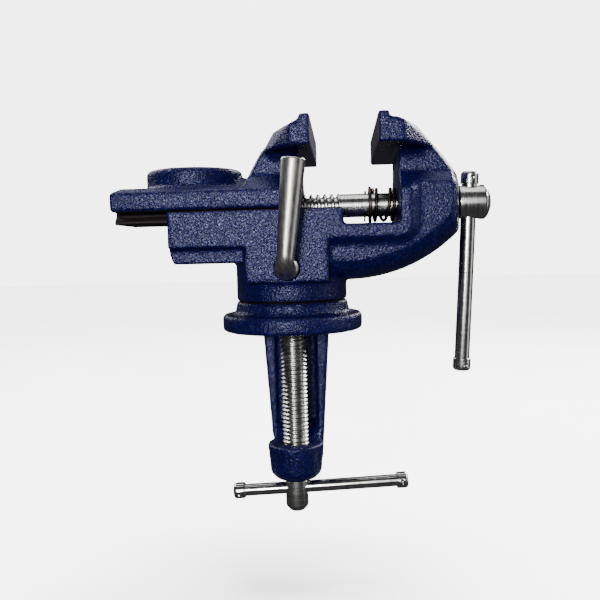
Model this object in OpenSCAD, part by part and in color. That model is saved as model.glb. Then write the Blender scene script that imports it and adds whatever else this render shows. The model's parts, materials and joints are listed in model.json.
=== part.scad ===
// Clamp-on swivel bench vise with a small anvil.
// Origin: centre of the round base's underside, where it rests on a table.
// +X points to the jaw handle, -Y to the lock lever and the clamp's open side, +Z up.

/* [Jaws] */
// Width of the jaws, across the vise
jaw_w = 63.5; // [60:0.5:66]
// Gap between the jaw faces as drawn
jaw_gap = 22; // [18:0.5:24]
// Height of a jaw's gripping end, without its lip
jaw_h = 8; // [7:0.5:9]
// Height of the thin lip on top of each jaw
lip_h = 2; // [1:0.1:2.2]
// Thickness of that lip
lip_t = 3.6; // [2.5:0.1:4]
// Height of the jaws' underside above the table
jaw_z = 62.9; // [62:0.1:63.5]
// Half the width of the neck that carries each jaw
neck_half = 15; // [13:0.5:16]

/* [Body] */
// Half the width of the guide block and of the raised rib
body_half = 21.2; // [20.8:0.1:22]
// Half the width of the recessed web behind the rib
web_half = 18.6; // [17:0.1:19]
// Left end of the guide block
guide_left = -40.9; // [-42:0.1:-38]
// Right end of the guide block, where the throat starts
guide_right = 19.7; // [19:0.1:21]
// Top of the guide block
guide_top = 43.2; // [43:0.1:43.4]
// Throat face, under the fixed jaw
throat_x = 38.9; // [38:0.1:40]
// Outer face that the screw head bears on
body_right = 60.9; // [60:0.1:61.2]
// Radius of the body's round foot
foot_r = 20.3; // [19:0.1:20.4]

/* [Anvil and slide] */
// Anvil centre along the slide
anvil_x = -34.9; // [-36:0.1:-34]
// Anvil radius
anvil_r = 17.5; // [16:0.1:18]
// Anvil top above the table
anvil_top = 58.9; // [57:0.1:60]
// Left end of the sliding arm
arm_left = -62.2; // [-63:0.1:-58]
// Top of the arm beside the anvil
arm_top = 51.8; // [51:0.1:52.4]
// Height where the arm's side faces end and its sloping top edges start
arm_edge = 50; // [49:0.1:50.4]
// Half the width of the dovetail at its wide foot
tail_half = 12.5; // [12:0.1:14.5]

/* [Jaw screw] */
// Height of the jaw screw's axis
screw_z = 44.8; // [44.6:0.1:45]
// Outer radius of the jaw screw's thread
screw_r = 4.5; // [4.3:0.05:4.6]
// Pitch of the jaw screw
screw_pitch = 2.5; // [2.5]
// Radius of the plain shank
shank_r = 4.25; // [4:0.05:4.3]
// Radius of the screw head
head_r = 6.2; // [5.5:0.1:6.4]
// Length of the screw head
head_len = 11.8; // [10:0.1:12]

/* [Handles] */
// Radius of the jaw handle bar
bar_r = 2.7; // [2.4:0.05:2.75]
// Lean of the jaw handle bar in its loose hole, in degrees
bar_lean = 2.9; // [0:0.1:3.2]
// Radius of the clamp handle bar
clamp_bar_r = 2.25; // [2:0.05:2.3]
// Lean of the clamp handle bar in its loose hole, in degrees
clamp_bar_lean = 3.6; // [0:0.1:3.8]
// Radius of the lock lever at its free end
lever_end_r = 4.05; // [3.6:0.05:4.1]
// Reach of the lock lever from its bolt
lever_len = 36; // [33:0.5:36.5]
// Lean of the lock lever from upright, in degrees
lever_lean = 6.1; // [0:0.1:10]

/* [Base and clamp] */
// Radius of the round base
base_r = 25.8; // [25:0.1:26]
// Thickness of the base at its rim
base_t = 6.2; // [5.5:0.1:6.5]
// Radius of the spigot that the body turns on
spigot_r = 11; // [10:0.1:11.5]
// Radius of the clamp screw's thread, M10
clamp_r = 4.95; // [4.95]
// Pitch of the clamp screw
clamp_pitch = 1.5; // [1.5]
// Top of the clamp's threaded boss, below the table
boss_top = -43; // [-44:0.1:-42]
// Radius of the clamp's threaded boss
boss_r = 10.6; // [10:0.1:11]

/* [Hidden] */
$fn = 72;
eps = 0.01;
run_gap = 0.05;
slip = 0.25;
// Heights of the main joints between castings
joint_z = 11;
floor_z = 37.7;
// Corners of the throat, below and above the screw
throat_low_r = 1.2;
throat_top_r = 4;
arm_z = guide_top + 0.3;
tail_z = 39.4;
tail_land = 1.3;
tail_step = 2.5;
// Jaw faces and heads
fixed_x = throat_x - 7.6;
moving_x = fixed_x - jaw_gap;
neck_x = moving_x - 4.7;
jaw_top = jaw_z + jaw_h;
neck_low = 55;
neck_fillet = 4.5;
// A jaw's back: half its flat middle, half the width where it starts to round,
// how far its middle stands out, and how far its corners are set back
core_half = 5;
round_half = 12.5;
crown = 2;
set_back = 1.2;
// Plan of the jaw heads: half the width and the length of the middle part,
// and the length of the full-width end
wing_half = 21.5;
wing_len = 14.3;
end_len = 8.5;
// Lower outline of the body's hook: a wide arc that ends in a small corner arc
hook_r = 55.4;
hook_x = 21.2;
hook_z = 73.4;
corner_r = 3;
web_top = 51.2;
rib_top = 49.3;
rib_low = 33.1;
rib_w = 3.9;
rib_slope = 2.6;
panel_low = 18;
panel_half = 14.4;
guide_low = 30.4;
block_low = 25;
// Jaw screw, from its left end to its domed head
dome_r = 10;
dome_h = dome_r * (1 - sin(53));
thread_left = -27;
thread_depth = 1.3;
thread_right = guide_right + 0.5;
head_x = body_right + 0.2;
bar_x = head_x + 4;
pin_x = 27.9;
pin_r = 0.7;
eye_r = 0.75;
eye_wire_r = 0.4;
washer_x = pin_x + pin_r + 0.1;
washer_t = 1.2;
washer_r = 6.8;
wire_r = 0.6;
spring_r = 5.7;
spring_x = washer_x + washer_t + wire_r + 0.05;
// The spring's turns: one closed at each end, and an open one between
spring_turns = 3;
spring_x1 = throat_x - wire_r - 0.1;
closed_pitch = 1.3;
open_pitch = spring_x1 - spring_x - 2 * closed_pitch;
tunnel_r = 5.2;
tunnel_left = -51;
hump_r = 11.2;
arm_low = arm_z + 0.8;
arm_corner = 6;
anvil_edge_r = 1.5;
shoulder_x = -14.5;
nut_len = 10.6;
// Handle bars: length above and below the screw's axis, along the bar
bar_up = head_r + 0.3;
bar_down = 60.3;
bar_cap_r = 3.2;
bar_cap_len = 4.6;
cap_end_t = 1.2;
cap_edge_r = 1.4;
bar_hole_r = 3.15;
clamp_cap_r = 3.0;
clamp_cap_len = 4.3;
clamp_left = 19.8;
clamp_right = 37.6;
clamp_bar_z = -60.4;
clamp_hole_r = 2.65;
// Lock lever
lever_z = 23.1;
lever_y = -30.3;
lever_collar_r = 4.2;
lever_thin_r = 2.85;
bend_r = 4.5;
bolt_r = 4;
bolt_tip_y = -8.9;
groove_depth = 2.3;
groove_half = 1.5;
groove_mouth = 3.6;
lever_gap = 0.2;
collar_len = 2.6;
bolt_cone = 11.6;
// Clamp
spigot_top = 30;
spine_y = 22;
spine_in = 16.5;
rib_in = 13;
spine_top_half = 13.3;
spine_low_half = 9.5;
channel_half = 8;
boss_low = -56.3;
foot_low = boss_low + 0.9;
pad_r = 7;
pad_top = -0.2;
pad_t = 2;
thread_top = -2.5;
head_top = -57.6;
screw_low = -69;
clamp_thread_depth = 0.8;
clamp_head_r = 4.25;
head_chamfer = 1.8;
tip_r = 2.5;
steel = [0.72, 0.72, 0.70];
dark_steel = [0.20, 0.19, 0.18];
paint = [0.08, 0.10, 0.38];

// Points of an arc from angle a to angle b
function arc(x, z, r, a, b, n = 12) =
    [for (i = [0:n]) [x + r * cos(a + (b - a) * i / n), z + r * sin(a + (b - a) * i / n)]];

// An outline in X and Z, made solid from y0 to y1
module side(points, y0, y1) {
    translate([0, y1, 0])
        rotate([90, 0, 0])
            linear_extrude(y1 - y0)
                polygon(points);
}

// The same outline, half to each side of the middle
module both(points, half) {
    side(points, -half, half);
}

// A block from one corner to the other
module block(low, high) {
    translate(low)
        cube(high - low);
}

// A cylinder along X
module rod_x(x0, x1, r) {
    translate([x0, 0, screw_z])
        rotate([0, 90, 0])
            cylinder(r = r, h = x1 - x0);
}

// Outline of one ring of thread, as [radius, height] points, from the bottom up
function ring(z, pitch, r, root) = [
    [root, z + 0.10 * pitch],
    [r, z + 0.34 * pitch],
    [r, z + 0.58 * pitch],
    [root, z + 0.82 * pitch]
];

// A threaded rod along Z: grooves of the thread's pitch and depth
module threaded_rod(low, high, pitch, r, root) {
    count = floor((high - low) / pitch);
    rings = [for (i = [0:count - 1]) each ring(low + i * pitch, pitch, r, root)];
    rotate_extrude()
        polygon(concat([[0, low], [root, low]], rings, [[root, high], [0, high]]));
}

// X of the fixed jaw's sloping back at height z
function back_x(z) = 58.6 - 0.7 * (z - 53.8) - 0.006 * pow(z - 53.8, 2);

// Outline of the hook up to the web's top, set in by c below and by n at its right end
function hook(c, n) =
    let (x = body_right - n - corner_r,
         z = hook_z - sqrt(pow(hook_r - c - corner_r, 2) - pow(x - hook_x, 2)),
         a = atan2(z - hook_z, x - hook_x))
    concat([[5, hook_z - hook_r + c]], arc(hook_x, hook_z, hook_r - c, -90, a, 14),
           arc(x, z, corner_r, a, 0, 5), [[body_right - n, web_top], [5, web_top]]);

// Outline of a neck from z0 to z1, with its sloping back moved by d
function fixed_neck(z0, z1, d) =
    concat([for (i = [0:4]) let (z = z0 + (z1 - z0) * i / 4) [back_x(z) + d, z]],
           [[throat_x, z1], [throat_x, z0]]);

// Concave fillet that joins a neck's sides to the underside of its jaw head, from x0 to x1
module neck_fillets(x0, x1) {
    for (s = [0, 1])
        mirror([0, s, 0])
            translate([x0, 0, 0])
                rotate([90, 0, 90])
                    linear_extrude(x1 - x0)
                        polygon(concat([[0, jaw_z + 1], [0, jaw_z - neck_fillet]],
                                arc(neck_half + neck_fillet, jaw_z - neck_fillet, neck_fillet, 180, 90, 6),
                                [[neck_half + neck_fillet, jaw_z + 1]]));
}

// The fixed jaw, its neck and the hook below it
module hook_casting() {
    // Hook: each wider outline is set in further, so its lower edge is rounded
    hull() {
        both(hook(0, 0), core_half);
        both(hook(1, 1.4), 12);
        both(hook(3.6, 2.6), 16.4);
        both(hook(7, 3.9), web_half);
    }
    // Shoulder that narrows from the web to the neck
    hull() {
        both([[throat_x, rib_top - 4], [body_right - 0.2, rib_top - 4], [body_right - 0.2, web_top],
              [throat_x, web_top]], core_half);
        both([[throat_x, rib_top - 4], [body_right - 4, rib_top - 4], [body_right - 4, web_top],
              [throat_x, web_top]], web_half - 0.1);
        both(fixed_neck(neck_low - 1, neck_low, crown), core_half);
        both(fixed_neck(neck_low - 1, neck_low, -set_back), neck_half);
    }
    hull() {
        both(fixed_neck(neck_low - 0.5, jaw_z + 1, crown), core_half);
        both(fixed_neck(neck_low - 0.5, jaw_z + 1, 0.5), round_half);
        both(fixed_neck(neck_low - 0.5, jaw_z + 1, -set_back), neck_half);
    }
    neck_fillets(throat_x, fixed_x + wing_len + 1);
    // Jaw head, widest at its gripping end
    hull() {
        both(fixed_head(crown), core_half);
        both(fixed_head(0.2), round_half);
        both([[fixed_x, jaw_z], [fixed_x + wing_len, jaw_z], [fixed_x + wing_len - 0.4, jaw_top - 2.6],
              [fixed_x, jaw_top]], wing_half);
        both([[fixed_x, jaw_z], [fixed_x + end_len, jaw_z], [fixed_x + end_len, jaw_top - 1.2],
              [fixed_x + end_len - 3, jaw_top], [fixed_x, jaw_top]], jaw_w / 2);
    }
    block([fixed_x, -jaw_w / 2, jaw_top - 1], [fixed_x + lip_t, jaw_w / 2, jaw_top + lip_h]);
    // Raised rib round the throat: its upright, which leans back into the web, and its foot
    hull() {
        both([[throat_x, rib_low + 3], [throat_x + rib_w, rib_low + 3], [throat_x + rib_w, rib_top],
              [throat_x, rib_top]], body_half);
        both([[throat_x, rib_low + 3], [throat_x + rib_w + rib_slope, rib_low + 3],
              [throat_x + rib_w + rib_slope, rib_top], [throat_x, rib_top]], web_half);
        both([[throat_x, rib_low + 6], [throat_x + rib_w, rib_low + 6], [throat_x + rib_w, neck_low],
              [throat_x, neck_low]], neck_half);
    }
    hull() {
        both(rib_foot(0), body_half);
        both(rib_foot(rib_slope), web_half);
    }
}

// Outline of the middle of the fixed jaw's head, with its sloping back moved by d
function fixed_head(d) =
    concat([[fixed_x, jaw_z]], [for (i = [0:4]) let (z = jaw_z + 2 * i) [back_x(z) + d, z]],
           [[fixed_x, jaw_top]]);

// Outline of the rib's foot under the throat, larger by g below and to the right
function rib_foot(g) =
    concat([[panel_half, rib_low - g], [panel_half, floor_z], [throat_x + rib_w + g, floor_z]],
           arc(throat_x + rib_w - 4, rib_low + 4, 4 + g, 0, -90, 6));

// Cross-section of the dovetail, in Y and Z, wider by g all round
function dovetail(g, top) = [
    [-(tail_half + g), tail_z - g],
    [tail_half + g, tail_z - g],
    [tail_half + g, tail_z + tail_land],
    [tail_half - tail_step + g, arm_z],
    [tail_half - tail_step + g, top],
    [-(tail_half - tail_step + g), top],
    [-(tail_half - tail_step + g), arm_z],
    [-(tail_half + g), tail_z + tail_land]
];

// The dovetail along the slide
module dovetail_bar(x0, x1, g, top) {
    translate([x0, 0, 0])
        rotate([90, 0, 90])
            linear_extrude(x1 - x0)
                polygon(dovetail(g, top));
}

module vise_body() {
    color(paint)
        difference() {
            union() {
                hook_casting();
                // Guide block with its lower, recessed strip
                both([[guide_left, guide_low], [panel_half, guide_low], [panel_half, rib_low],
                      [guide_right, rib_low], [guide_right, guide_top], [guide_left, guide_top]], body_half);
                both([[guide_left + 1.4, block_low], [hook_x, block_low], [hook_x, guide_low + 1],
                      [guide_left - 0.3, guide_low + 1], [guide_left + 0.2, block_low + 2.3]], web_half);
                // Front and rear panels over the round foot
                both([[-panel_half, panel_low], [panel_half, panel_low], [panel_half, guide_low + 4],
                      [-panel_half, guide_low + 4]], body_half);
                translate([0, 0, joint_z + 0.1])
                    cylinder(r = foot_r, h = block_low + 2 - joint_z, $fn = 120);
            }
            // Throat between the guide block and the hook
            both(concat([[guide_right, floor_z]],
                 arc(throat_x - throat_low_r, floor_z + throat_low_r, throat_low_r, -90, 0, 6),
                 arc(throat_x - throat_top_r, jaw_z - throat_top_r, throat_top_r, 0, 90, 8),
                 [[0, jaw_z], [0, guide_top], [guide_right, guide_top]]), jaw_w);
            dovetail_bar(guide_left - 5, guide_right + 5, slip, guide_top + 5);
            rod_x(throat_x - 5, body_right + 5, shank_r + run_gap);
            // Bore for the spigot, and the lock bolt's hole into it
            translate([0, 0, joint_z - 1])
                cylinder(r = spigot_r + run_gap, h = spigot_top + 1.5 - joint_z);
            translate([0, 0, lever_z])
                rotate([90, 0, 0])
                    cylinder(r = bolt_r + run_gap, h = body_half + 5);
        }
}

// Left end of the moving jaw's head at height z
function moving_back_x(z) = -13 + 0.5 * (z - 56) + 0.011 * pow(z - 56, 2);

// Outline of the moving jaw's neck from z0 to z1, with its sloping back moved by d
function moving_neck(z0, z1, d) =
    concat([for (i = [0:4]) let (z = z0 + (z1 - z0) * i / 4) [moving_back_x(z) + d, z]],
           [[neck_x, z1], [neck_x, z0]]);

// Outline of the middle of the moving jaw's head, with its sloping back moved by d
function moving_head(d) =
    concat([for (i = [0:4]) let (z = jaw_z + (jaw_h - 1) * i / 4) [moving_back_x(z) + d, z]],
           [[moving_back_x(jaw_top) + d + 2.4, jaw_top], [moving_x, jaw_top], [moving_x, jaw_z]]);

module moving_jaw() {
    color(paint)
        difference() {
            union() {
                // Arm, with sloping top edges and chamfered corners
                hull() {
                    block([arm_left + 1.7, -body_half, arm_low], [neck_x, body_half, arm_edge]);
                    block([arm_left, arm_corner - body_half, arm_low],
                          [neck_x, body_half - arm_corner, arm_edge]);
                    block([arm_left + 2.4, 0.8 - body_half, arm_z], [neck_x, body_half - 0.8, arm_edge]);
                    block([arm_left + 4.6, 3.2 - body_half, arm_z], [neck_x, body_half - 3.2, arm_top]);
                }
                dovetail_bar(arm_left + 0.1, neck_x, 0, arm_z + 1);
                // Anvil with a soft edge
                translate([anvil_x, 0, 0])
                    rotate_extrude($fn = 120)
                        polygon(concat([[0, arm_z + 2], [anvil_r, arm_z + 2]],
                                arc(anvil_r - anvil_edge_r, anvil_top - anvil_edge_r, anvil_edge_r, 0, 90, 5),
                                [[0, anvil_top]]));
                // Hump over the screw, between the anvil and the neck
                intersection() {
                    rod_x(anvil_x + 10, 0, hump_r);
                    block([anvil_x, -body_half, arm_z], [1, body_half, jaw_z]);
                }
                // Shoulder and neck
                hull() {
                    both([[shoulder_x, arm_edge - 1.5], [neck_x, arm_edge - 1.5], [neck_x, arm_edge],
                          [shoulder_x, arm_edge]], body_half);
                    both(moving_neck(neck_low - 1, neck_low, 0), neck_half);
                }
                hull() {
                    both(moving_neck(neck_low - 0.5, jaw_z + 1, -1), core_half + 1);
                    both(moving_neck(neck_low - 0.5, jaw_z + 1, 0), round_half + 0.5);
                    both(moving_neck(neck_low - 0.5, jaw_z + 1, 1), neck_half);
                }
                neck_fillets(-5, neck_x);
                // Jaw head, widest at its gripping end
                hull() {
                    both(moving_head(-0.7), core_half + 1);
                    both(moving_head(0.8), round_half + 0.5);
                    both([[moving_x, jaw_z], [moving_x - wing_len + 0.8, jaw_z],
                          [moving_x - wing_len + 1.8, jaw_top - 2.4], [moving_x, jaw_top]], wing_half + 1.5);
                    both([[moving_x - end_len + 1.7, jaw_z], [moving_x, jaw_z], [moving_x, jaw_top],
                          [moving_x - end_len + 4.5, jaw_top], [moving_x - end_len + 1.7, jaw_top - 1.6]],
                         jaw_w / 2);
                }
                block([moving_x - lip_t, -jaw_w / 2, jaw_top - 1], [moving_x, jaw_w / 2, jaw_top + lip_h]);
            }
            // Room under the head's overhang
            block([neck_x, -jaw_w, arm_z - 10], [moving_x + 5, jaw_w, jaw_z]);
            rod_x(neck_x - nut_len, neck_x + 5, screw_r + run_gap);
            // Clearance for the screw past the nut, open at the bottom
            rod_x(tunnel_left, neck_x - nut_len + eps, tunnel_r);
            block([tunnel_left, -tunnel_r, tail_z - 1], [neck_x - nut_len + eps, tunnel_r, screw_z]);
        }
}

module jaw_screw() {
    color(steel)
        difference() {
            union() {
                translate([0, 0, screw_z])
                    rotate([0, 90, 0])
                        threaded_rod(thread_left, thread_right, screw_pitch, screw_r, screw_r - thread_depth);
                rod_x(thread_right - eps, head_x + 1, shank_r);
                // Head, with a domed outer edge
                translate([head_x, 0, screw_z])
                    rotate([0, 90, 0])
                        rotate_extrude()
                            polygon(concat([[0, 0], [head_r, 0], [head_r, head_len - dome_h - 0.5]],
                                    arc(0, head_len - dome_r, dome_r, 53, 90, 6)));
            }
            translate([bar_x, 0, screw_z])
                cylinder(r = bar_hole_r, h = 4 * head_r, center = true);
            in_pin()
                cylinder(r = pin_r + 0.15, h = 4 * shank_r, center = true);
        }
}

// Places its child across the shank, along the split pin
module in_pin() {
    translate([pin_x, 0, screw_z])
        rotate([-37, 0, 0])
            children();
}

module split_pin() {
    color(dark_steel)
        in_pin() {
            translate([0, 0, -shank_r - 1.3])
                cylinder(r = pin_r, h = 2 * shank_r + 1.6, $fn = 32);
            translate([0, 0, shank_r + 0.15 + eye_r + eye_wire_r])
                rotate([0, 90, 0])
                    rotate_extrude($fn = 48)
                        translate([eye_r, 0])
                            circle(r = eye_wire_r, $fn = 24);
        }
}

module thrust_washer() {
    color(dark_steel)
        difference() {
            rod_x(washer_x, washer_x + washer_t, washer_r);
            rod_x(washer_x - 1, washer_x + washer_t + 1, shank_r + run_gap);
        }
}

// X of the spring's wire at turn t
function coil_x(t) =
    spring_x + closed_pitch * (min(t, 1) + max(t - 2, 0)) + open_pitch * max(0, min(t - 1, 1));

// One ring of points round the spring's wire, at turn t
function wire_ring(t, sides) = [
    for (k = [0:sides - 1])
        let (a = 360 * k / sides, out = spring_r + wire_r * cos(a))
            [coil_x(t) + wire_r * sin(a), out * sin(360 * t), screw_z + out * cos(360 * t)]
];

module take_up_spring() {
    sides = 10;
    steps = 28;
    rings = spring_turns * steps;
    points = [for (i = [0:rings]) each wire_ring(i / steps, sides)];
    walls = [for (i = [0:rings - 1], k = [0:sides - 1])
        let (n = (k + 1) % sides)
            [i * sides + k, i * sides + n, (i + 1) * sides + n, (i + 1) * sides + k]];
    ends = [[for (k = [sides - 1:-1:0]) k], [for (k = [0:sides - 1]) rings * sides + k]];
    color(dark_steel)
        polyhedron(points, concat(walls, ends));
}

// Places its child along the jaw handle bar, with 0 at the screw's axis
module on_jaw_bar() {
    translate([bar_x, 0, screw_z])
        rotate([0, bar_lean, 0])
            children();
}

// A pressed-on end cap that points up: a cup with a domed end, over the last part of a bar
module end_cap(r, hole, length) {
    rotate_extrude($fn = 48)
        polygon(concat([[hole, 0], [r - 0.3, 0], [r, 0.3]],
                arc(r - cap_edge_r, length - cap_edge_r, cap_edge_r, 0, 90, 5),
                [[0, length], [0, length - cap_end_t], [hole, length - cap_end_t]]));
}

module jaw_handle_bar() {
    color(steel)
        on_jaw_bar()
            translate([0, 0, -bar_down])
                cylinder(r = bar_r, h = bar_down + bar_up + bar_cap_len - cap_end_t, $fn = 48);
}

module jaw_handle_upper_cap() {
    color(steel)
        on_jaw_bar()
            translate([0, 0, bar_up])
                end_cap(bar_cap_r, bar_r, bar_cap_len);
}

module jaw_handle_lower_cap() {
    color(steel)
        on_jaw_bar()
            translate([0, 0, -bar_down - cap_end_t + bar_cap_len])
                mirror([0, 0, 1])
                    end_cap(bar_cap_r, bar_r, bar_cap_len);
}

module lock_lever() {
    color(steel)
        translate([0, 0, lever_z])
            rotate([0, lever_lean, 0]) {
                // Threaded bolt with its coned tip, pointing into the body
                translate([0, -body_half - lever_gap, 0])
                    rotate([-90, 0, 0]) {
                        cylinder(r = bolt_r, h = body_half - bolt_cone);
                        translate([0, 0, body_half - bolt_cone])
                            cylinder(r1 = bolt_r, r2 = 1.4, h = bolt_cone + lever_gap + bolt_tip_y);
                    }
                // Collar, tapering into the bend
                translate([0, -body_half - lever_gap, 0])
                    rotate([90, 0, 0]) {
                        cylinder(r = lever_collar_r, h = collar_len);
                        translate([0, 0, collar_len - eps])
                            cylinder(r1 = lever_collar_r - 0.1, r2 = lever_thin_r + 0.1,
                                     h = -lever_y - bend_r - body_half - 2.5);
                    }
                // Quarter bend, then the arm that widens to its end
                translate([0, lever_y + bend_r, bend_r])
                    rotate([0, 90, 0])
                        rotate([0, 0, -90])
                            rotate_extrude(angle = 90)
                                translate([bend_r, 0])
                                    circle(r = lever_thin_r);
                translate([0, lever_y, bend_r - 0.3])
                    cylinder(r1 = lever_thin_r + 0.1, r2 = lever_end_r, h = lever_len - bend_r - 0.2);
                translate([0, lever_y, lever_len - 0.5 - eps])
                    cylinder(r1 = lever_end_r - eps, r2 = lever_end_r - 0.5, h = 0.5);
            }
}

module clamp_bracket() {
    color(paint)
        difference() {
            union() {
                // Round base, its raised seat, and the spigot with a V groove for the lock bolt
                rotate_extrude($fn = 120)
                    polygon(concat([[0, 0]], arc(base_r - 1, 1, 1, -90, 0, 4),
                            arc(base_r - 1.4, base_t - 1.4, 1.4, 0, 80, 5),
                            arc(22.4, base_t + 1.4, 1.4, -100, -165, 5),
                            [[foot_r + 0.5, base_t + 2], [foot_r + 0.1, joint_z - 0.8],
                             [foot_r - 0.6, joint_z - 0.1], [spigot_r, joint_z - 0.1],
                             [spigot_r, lever_z - groove_mouth],
                             [spigot_r - groove_depth, lever_z - groove_half],
                             [spigot_r - groove_depth, lever_z + groove_half],
                             [spigot_r, lever_z + groove_mouth],
                             [spigot_r, spigot_top - 1], [spigot_r - 1, spigot_top], [0, spigot_top]]));
                spine();
                // Threaded boss and its foot
                rotate_extrude()
                    polygon([[0, boss_low], [boss_r - 3.2, boss_low], [boss_r - 1, boss_low + 2.4],
                             [boss_r, boss_top], [0, boss_top]]);
                block([-spine_low_half + 0.4, 0, foot_low], [spine_low_half - 0.4, spine_y, boss_top]);
            }
            translate([0, 0, boss_low - 1])
                cylinder(r = clamp_r + run_gap, h = boss_top - boss_low + 2);
        }
}

// The upright behind the clamp screw: a tapering channel with a rib along each edge
module spine() {
    outline = [[-spine_low_half, foot_low], [spine_low_half, foot_low],
               [spine_top_half, 1], [-spine_top_half, 1]];
    side(outline, spine_in, spine_y);
    for (s = [0, 1])
        mirror([s, 0, 0])
            side([[channel_half, boss_top - 2], [spine_low_half + 0.6, boss_top - 2],
                  [spine_top_half - 0.3, 1], [channel_half, 1]], rib_in, spine_y - 1);
    // Gusset between the upright and the boss
    translate([-spine_low_half + 0.3, 0, 0])
        rotate([90, 0, 90])
            linear_extrude(2 * spine_low_half - 0.6)
                polygon([[spine_in + 1, boss_top + 6], [spine_in + 1, boss_top - 1],
                         [8.5, boss_top - 1], [8.5, boss_top], [spine_in - 2, boss_top + 3]]);
}

module clamp_screw() {
    color(steel)
        difference() {
            union() {
                threaded_rod(head_top, thread_top, clamp_pitch, clamp_r, clamp_r - clamp_thread_depth);
                // Plain head with a chamfered end
                translate([0, 0, screw_low])
                    cylinder(r1 = clamp_head_r - head_chamfer + 0.2, r2 = clamp_head_r, h = head_chamfer);
                translate([0, 0, screw_low + head_chamfer])
                    cylinder(r = clamp_head_r, h = head_top - screw_low - head_chamfer + eps);
                // Tip that the pressure pad turns on, peened over at its end
                translate([0, 0, thread_top - 0.2])
                    cylinder(r = tip_r, h = pad_top - thread_top - 0.6);
                translate([0, 0, pad_top - 0.8])
                    cylinder(r1 = tip_r, r2 = tip_r + 0.4, h = 0.5);
            }
            translate([0, 0, clamp_bar_z])
                rotate([0, 90, 0])
                    cylinder(r = clamp_hole_r, h = 4 * clamp_r, center = true);
        }
}

module pressure_pad() {
    color(dark_steel)
        difference() {
            translate([0, 0, pad_top - pad_t])
                cylinder(r = pad_r, h = pad_t);
            translate([0, 0, pad_top - pad_t - 1])
                cylinder(r = tip_r + run_gap, h = pad_t + 2);
            translate([0, 0, pad_top - 0.9])
                cylinder(r1 = tip_r + run_gap, r2 = tip_r + 0.8, h = 0.9 + eps);
        }
}

// Places its child along the clamp handle bar, pointing to its right end
module on_clamp_bar() {
    translate([0, 0, clamp_bar_z])
        rotate([0, 90 - clamp_bar_lean, 0])
            children();
}

module clamp_handle_bar() {
    color(steel)
        on_clamp_bar()
            translate([0, 0, -clamp_left - clamp_cap_len + cap_end_t])
                cylinder(r = clamp_bar_r, h = clamp_left + clamp_right + 2 * (clamp_cap_len - cap_end_t),
                         $fn = 48);
}

module clamp_handle_left_cap() {
    color(steel)
        on_clamp_bar()
            translate([0, 0, -clamp_left])
                mirror([0, 0, 1])
                    end_cap(clamp_cap_r, clamp_bar_r, clamp_cap_len);
}

module clamp_handle_right_cap() {
    color(steel)
        on_clamp_bar()
            translate([0, 0, clamp_right])
                end_cap(clamp_cap_r, clamp_bar_r, clamp_cap_len);
}

clamp_bracket();
vise_body();
moving_jaw();
jaw_screw();
split_pin();
thrust_washer();
take_up_spring();
jaw_handle_bar();
jaw_handle_upper_cap();
jaw_handle_lower_cap();
lock_lever();
clamp_screw();
pressure_pad();
clamp_handle_bar();
clamp_handle_left_cap();
clamp_handle_right_cap();
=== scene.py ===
"""The bench vise's looks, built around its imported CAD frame.

Sizes are in millimetres until mesh data is made.
"""

import json
import math

import bmesh
import bpy
import numpy as np
from mathutils import Matrix, Vector, noise

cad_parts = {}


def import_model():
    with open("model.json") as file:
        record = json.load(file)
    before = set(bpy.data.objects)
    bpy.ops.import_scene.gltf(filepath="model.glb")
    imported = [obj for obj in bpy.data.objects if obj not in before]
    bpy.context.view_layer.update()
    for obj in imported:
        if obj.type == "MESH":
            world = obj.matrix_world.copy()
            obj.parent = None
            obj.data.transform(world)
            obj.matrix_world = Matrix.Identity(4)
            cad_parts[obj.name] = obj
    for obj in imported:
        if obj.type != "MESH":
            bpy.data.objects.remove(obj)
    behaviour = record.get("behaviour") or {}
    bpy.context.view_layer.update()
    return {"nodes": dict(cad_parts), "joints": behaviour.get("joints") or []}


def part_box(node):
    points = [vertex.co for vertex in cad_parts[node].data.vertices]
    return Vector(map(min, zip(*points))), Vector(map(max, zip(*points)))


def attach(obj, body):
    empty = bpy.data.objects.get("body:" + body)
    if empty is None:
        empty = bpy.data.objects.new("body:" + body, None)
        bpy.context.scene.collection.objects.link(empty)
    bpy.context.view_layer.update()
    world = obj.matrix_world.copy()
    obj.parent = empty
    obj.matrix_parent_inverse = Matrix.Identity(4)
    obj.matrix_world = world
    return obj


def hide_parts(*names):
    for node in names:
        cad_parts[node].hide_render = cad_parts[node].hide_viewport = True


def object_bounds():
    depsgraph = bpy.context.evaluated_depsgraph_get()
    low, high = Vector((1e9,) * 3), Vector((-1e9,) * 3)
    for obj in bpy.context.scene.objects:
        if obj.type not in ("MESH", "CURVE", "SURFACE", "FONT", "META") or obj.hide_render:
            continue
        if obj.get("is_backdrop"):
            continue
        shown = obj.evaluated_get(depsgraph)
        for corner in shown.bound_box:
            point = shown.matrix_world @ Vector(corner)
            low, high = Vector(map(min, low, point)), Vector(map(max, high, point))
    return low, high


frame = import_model()
MM = 0.001
JOINTS = {j["name"]: j for j in frame["joints"]}

# Main places, from the frame and from the CAD part's own sizes
SCREW_Z = JOINTS["screw_turn"]["pos_m"][2] / MM
HEAD_LEFT = 61.1
HEAD_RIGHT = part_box("jaw_screw")[1].x / MM
BAR_X = 65.1
FIXED_X = 31.3
MOVING_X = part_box("moving_jaw")[1].x / MM
JAW_LOW = 62.9
GUIDE_TOP = 43.2
ARM_LOW = 43.5
SEAT_Z = 11.0
LEVER_Z = JOINTS["lock_turn"]["pos_m"][2] / MM
CLAMP_BAR_Z = -60.4

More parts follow.
